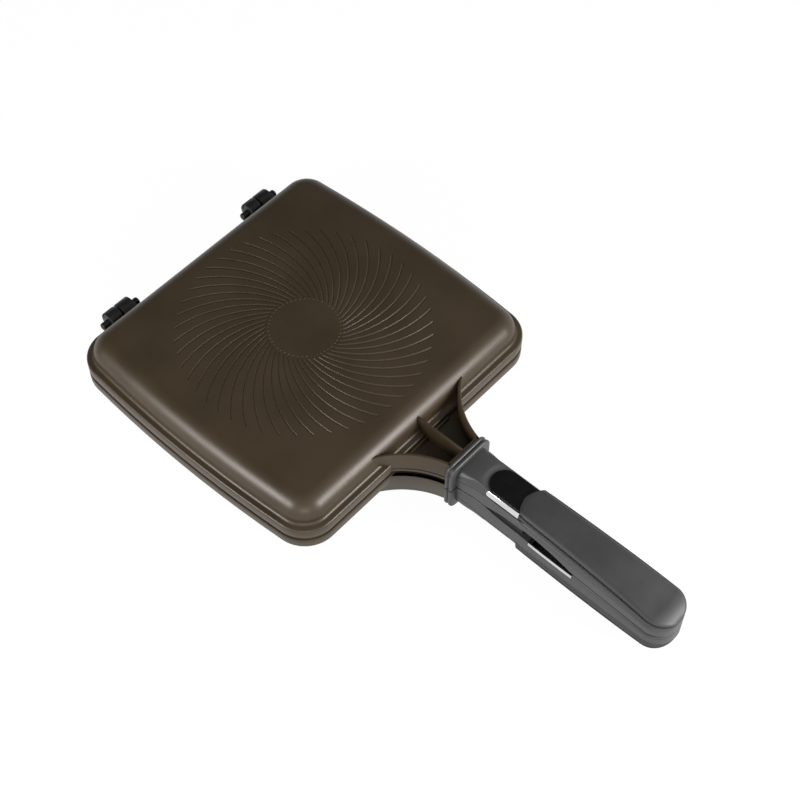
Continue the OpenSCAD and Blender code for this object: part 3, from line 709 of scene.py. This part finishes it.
def plate_bmesh(half, spare=0.0):
    """The plate in the hollow between the halves, or its bed, which is larger by the spare."""
    out = PLATE_OUT[half] + spare
    if spare and half == "lower":
        out = 2      # the bed opens through the side
    bm = block((-1, LENS_Y - PLATE_L - spare, -1), (1, LENS_Y + spare, 12))
    for v in bm.verts:
        v.co.x *= grip_half(v.co.y) + out
    uprights = [e for e in bm.edges if abs(e.verts[0].co.z - e.verts[1].co.z) > 1]
    bmesh.ops.bevel(bm, geom=uprights, offset=0.5, segments=3, affect="EDGES", profile=0.5,
                    material=-1)
    bm = cut(bm, lens_barrel(half))
    beyond = cut(block((-40, -240, -30), (40, -130, 30)), lens_barrel(half, PLATE_T + spare))
    return cut(bm, beyond)


LOW_EDGE, NECK_EDGE, BED_EDGE = 1.1, 4.8, 0.15
RAIL_LOW_EDGE, RAIL_TOP_EDGE = 1.6, 1.8
PLUG_HALF, PLUG_BACK, PLUG_FRONT = 9, -167, -130      # where the hollow stays filled
# The shadow slot under each polished strip
SLOT_REACH, SLOT_HALF = 1.6, 0.55
SLOT_X, SLOT_Z, SLOT_BACK, SLOT_FRONT = 10.7, 11.25, -168.5, -146.5
# Places, radii and depths of the bores that show when the halves are parted: for the
# tang screw, for the cover's two screws and for the magnet
BORES = ((-135, 3.6, 2.4), (-215.9, 2.9, 2), (-239.1, 2.9, 2), (-227.5, 6.1, 3.2))


def handle_blank():
    """Neck, waist and rail in one, skinned over sections from the collar to the round end."""
    bm = bmesh.new()
    waist, bed = WAIST_W / 2, BED_W / 2
    loops = []
    for k in range(9):
        y = HANDLE_Y - NECK_EASE * k / 8
        low, ease = flank(y)
        top = NECK_TOP / 2 + (bed - NECK_TOP / 2) * ease
        loops.append(section_loop(bm, y, low, top, 0, NECK_H + (WAIST_H - NECK_H) * ease, LOW_EDGE,
                                  NECK_EDGE - 4.5 * ease))
    for y in (-140, -146, -152, COVER_Y - FRONT_L):
        loops.append(section_loop(bm, y, waist, bed, 0, WAIST_H, LOW_EDGE, BED_EDGE))
    start = COVER_Y - FRONT_L - SPARE
    stations = [start + (ROUND_Y - start) * k / 8 for k in range(9)]
    stations += [ROUND_Y - END_R * math.sin(math.radians(a)) for a in range(10, 91, 8)]
    for y in stations:
        loops.append(section_loop(bm, y, grip_half(y), grip_half(y), 0, rail(y), RAIL_LOW_EDGE,
                                  RAIL_TOP_EDGE))
    return loft(bm, loops)


def handle_bmesh(half):
    """The blank less what the other pieces take up, less its grooves, slots and bores."""
    bm = cut(handle_blank(), barrel(0, COVER_Y - FRONT_R, RAIL_H, FRONT_R + 0.1, 20, segments=96))
    bm = cut(bm, crescent_cutter())
    bm = cut(bm, barrel(0, INLAY_Y - INLAY_R, WAIST_H - INLAY_T, INLAY_R + 0.1, 9, segments=96))
    bm = cut(bm, block((-30, COVER_Y - 30, WAIST_H - INLAY_T), (30, INLAY_Y - INLAY_R, 30)))
    plug = block((-PLUG_HALF, PLUG_BACK, -20), (PLUG_HALF, PLUG_FRONT, 20))
    bm = cut(bm, cut(lens_barrel(half), plug))
    bm = cut(bm, plate_bmesh(half, 0.1))
    for side in (-1, 1):
        slot = block((side * SLOT_X - SLOT_REACH, SLOT_BACK, SLOT_Z - SLOT_HALF),
                     (side * SLOT_X + SLOT_REACH, SLOT_FRONT, SLOT_Z + SLOT_HALF), 0.3)
        bm = cut(bm, slot)
        bm = cut(bm, seam_cutter(side))
    for y, radius, depth in BORES:
        bm = cut(bm, barrel(0, y, -1, radius, depth + 1, segments=48))
    return bm


for half in ("lower", "upper"):
    handle = stood(handle_bmesh(half), half + "_handle", half == "upper", 38)
    handle.data.materials.append(moulded)
    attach(handle, half + "_half")
    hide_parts(half + "_handle_body")


# ---------------------------------------------------------------- grip covers
# A soft-touch moulding screwed on each rail from within. Its front is cut
# round to meet the inlay and its back falls away over the rounded end.
COVER_H, CROWN_FALL, COVER_END_FALL = 17.8, 4.4, 4.9
COVER_LOW_EDGE, COVER_TOP_EDGE = 2.0, 5.5


def crown(y):
    """Height of the cover along the handle."""
    t = max(0, min(1, (COVER_Y - y) / (COVER_Y - ROUND_Y)))
    return COVER_H - CROWN_FALL * t ** 3


def cover_bmesh():
    """Sections across the round front, the straight grip and the round end."""
    bm = bmesh.new()
    full = math.asin(WAIST_W / 2 / FRONT_R)
    loops = []

    def station(y, half, top):
        loops.append(section_loop(bm, y, half, half, rail(y), top, COVER_LOW_EDGE,
                                  COVER_TOP_EDGE, 9))

    for t in (0.1, 0.2, 0.32, 0.45, 0.6, 0.75, 0.88, 1):
        y = COVER_Y - FRONT_R * (1 - math.cos(t * full))
        station(y, FRONT_R * math.sin(t * full), crown(y) - (1 - t) ** 2)
    start = COVER_Y - FRONT_L
    for k in range(1, 16):
        y = start + (ROUND_Y - start) * k / 15
        station(y, grip_half(y), crown(y))
    for a in range(7, 91, 7):
        y = ROUND_Y - END_R * math.sin(math.radians(a))
        fall = COVER_END_FALL * (1 - math.cos(math.radians(a)))
        station(y, grip_half(y), crown(ROUND_Y) - fall)
    return loft(bm, loops)


soft, shader, place = new_finish("soft_touch_grip", IOR=1.45)
pore = place.out("ShaderNodeTexNoise", Vector=place, Scale=5200.0, Detail=2.0, Roughness=0.6)
wear = place.out("ShaderNodeTexNoise", Vector=place, Scale=60.0, Detail=4.0, Roughness=0.55)
shade = pore.fade(0.3, 0.7) * 0.4 + wear.fade(0.3, 0.7) * 0.6
feed(shader, Base_Color=shade.mixed(linear(33, 33, 34), linear(43, 43, 44)),
     Roughness=0.46 + wear * 0.14 + pore * 0.06)
feed(shader, Normal=place.out("ShaderNodeBump", Strength=0.2, Distance=0.00003, Height=pore))

for half in ("lower", "upper"):
    cover = stood(cover_bmesh(), half + "_soft_cover", half == "upper", 60)
    cover.data.materials.append(soft)
    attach(cover, half + "_half")
    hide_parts(half + "_grip_cover")


# ---------------------------------------------------------------- inlays
# A plain gloss black plate let into the waist of each handle, with a round
# front. It is bare: nothing is printed on it.
def inlay_bmesh():
    """A flat bar with a half round front, a fine bevel and a back cut to the cover's front."""
    plate = block((-INLAY_W / 2, COVER_Y - FRONT_L, WAIST_H - INLAY_T),
                  (INLAY_W / 2, INLAY_Y, WAIST_H))
    corners = [e for e in plate.edges if all(abs(v.co.y - INLAY_Y) < 0.01 for v in e.verts)
               and abs(e.verts[0].co.z - e.verts[1].co.z) > 0.1]
    bmesh.ops.bevel(plate, geom=corners, offset=INLAY_R - 0.02, segments=16, affect="EDGES",
                    profile=0.5, material=-1)
    rim = [e for e in plate.edges if all(v.co.z > WAIST_H - 0.01 for v in e.verts)
           and any(f.normal.z < 0.5 for f in e.link_faces)]
    bmesh.ops.bevel(plate, geom=rim, offset=0.22, segments=3, affect="EDGES", profile=0.5,
                    material=-1)
    return cut(plate, barrel(0, COVER_Y - FRONT_R, 0, FRONT_R + 0.1, 30, segments=96))


gloss, shader, place = new_finish("gloss_black_inlay", IOR=1.32, Coat_Roughness=0.04)
smear = place.out("ShaderNodeTexNoise", Vector=place, Scale=160.0, Detail=3.0, Roughness=0.6)
feed(shader, Base_Color=smear.fade(0.4, 0.8).mixed(linear(9, 8, 8), linear(13, 12, 12)),
     Roughness=0.12 + smear * 0.1, Coat_Weight=smear * 0.1)
for half in ("lower", "upper"):
    inlay = stood(inlay_bmesh(), half + "_gloss_inlay", half == "upper", 40)
    inlay.data.materials.append(gloss)
    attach(inlay, half + "_half")
    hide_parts(half + "_inlay")


# ---------------------------------------------------------------- side strips
# Polished metal strips let into both sides of the waist beside the inlay,
# with a round front end. The grip cover holds their back ends.
STRIP_T, STRIP_L, STRIP_H, STRIP_LEAN = 1, 21.9, 3.4, math.radians(22)
STRIP_FOOT = (10.22, INLAY_Y - 3.7, 11.8)      # the middle of the front end's lower edge


def strip_bmesh(side):
    """One strip, drawn upright and then leaned on the side of the waist."""
    bm = block((-STRIP_T / 2, -STRIP_L, 0), (STRIP_T / 2, 0, STRIP_H))
    nose = [e for e in bm.edges if all(v.co.y > -0.1 for v in e.verts)
            and abs(e.verts[0].co.x - e.verts[1].co.x) > 0.5]
    bmesh.ops.bevel(bm, geom=nose, offset=1.5, segments=8, affect="EDGES", profile=0.5,
                    material=-1)
    outer = [e for e in bm.edges if all(v.co.x > STRIP_T / 2 - 0.05 for v in e.verts)
             and any(f.normal.x < 0.5 for f in e.link_faces)]
    bmesh.ops.bevel(bm, geom=outer, offset=0.3, segments=3, affect="EDGES", profile=0.5,
                    material=-1)
    bmesh.ops.rotate(bm, cent=(0, 0, 0), matrix=Matrix.Rotation(-STRIP_LEAN, 3, "Y"),
                     verts=bm.verts)
    bmesh.ops.translate(bm, vec=STRIP_FOOT, verts=bm.verts)
    if side < 0:
        bmesh.ops.scale(bm, vec=(-1, 1, 1), verts=bm.verts)
        bmesh.ops.reverse_faces(bm, faces=bm.faces)
    return cut(bm, barrel(0, COVER_Y - FRONT_R, RAIL_H, FRONT_R + 0.05, 20, segments=96))


polished, shader, place = new_finish("polished_trim", Metallic=1.0)
buff = place.out("ShaderNodeMapping", Vector=place, Scale=(900.0, 60.0, 900.0))
buff = buff.out("ShaderNodeTexNoise", Vector=buff, Scale=1.0, Detail=3.0, Roughness=0.5)
feed(shader, Base_Color=buff.fade(0.3, 0.7).mixed(linear(205, 205, 208), linear(225, 225, 227)),
     Roughness=0.1 + buff * 0.1)
for half in ("lower", "upper"):
    pair = join(strip_bmesh(-1), strip_bmesh(1))
    strips = stood(pair, half + "_polished_strips", half == "upper", 40)
    strips.data.materials.append(polished)
    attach(strips, half + "_half")
    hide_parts(half + "_trim_strips")


# ---------------------------------------------------------------- inner plates
# One thick steel plate in each handle half, with rounded corners, bent to the
# hollow between them. Its faces are painted near black: painted shade and a
# painted dark reflection for the gap between the halves. Its bright bare edges
# show in the side.
rolled, shader, place = new_finish("rolled_steel_with_painted_shade", Metallic=1.0)
grainy = place.out("ShaderNodeMapping", Vector=place, Scale=(1400.0, 50.0, 300.0))
grainy = grainy.out("ShaderNodeTexNoise", Vector=grainy, Scale=1.0, Detail=3.0, Roughness=0.6)
axes = place.node("ShaderNodeSeparateXYZ", Vector=place)
# edge is 1 at the plate's bare side edges; inward of them the base colour is near black, painted
# shade and painted dark reflection rather than the steel's own colour
edge = Wire(place.tree, axes.outputs["X"]).maths("ABSOLUTE").fade(0.0104, 0.0107)
bare = grainy.fade(0.3, 0.7).mixed(linear(188, 189, 192), linear(212, 213, 215))
feed(shader, Base_Color=edge.mixed(linear(26, 25, 25), bare),
     Roughness=0.34 + grainy * 0.1 - edge * 0.16)
for half in ("lower", "upper"):
    plate = stood(plate_bmesh(half), half + "_rolled_plate", half == "upper", 40)
    plate.data.materials.append(rolled)
    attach(plate, half + "_half")
    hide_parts(half + "_inner_plate")


# ---------------------------------------------------------------- screws and magnets
# The tang screw, the cover's two screws and the magnet of each half keep
# their plain solids: zinc plated steel and bright nickel.
zinc, shader, place = new_finish("zinc_plate", Metallic=1.0)
frost = place.out("ShaderNodeTexNoise", Vector=place, Scale=1500.0, Detail=3.0, Roughness=0.6)
feed(shader, Base_Color=frost.fade(0.3, 0.7).mixed(linear(150, 152, 156), linear(186, 188, 190)),
     Roughness=0.28 + frost * 0.16)
nickel, shader, place = new_finish("nickel_plate", Metallic=1.0)
frost = place.out("ShaderNodeTexNoise", Vector=place, Scale=700.0, Detail=2.0, Roughness=0.5)
feed(shader, Base_Color=frost.fade(0.3, 0.7).mixed(linear(172, 172, 170), linear(196, 196, 193)),
     Roughness=0.2 + frost * 0.1)
for half in ("lower", "upper"):
    for node, metal in (("_tang_screw", zinc), ("_cover_screws", zinc), ("_magnet", nickel)):
        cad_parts[half + node].data.materials.clear()
        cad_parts[half + node].data.materials.append(metal)
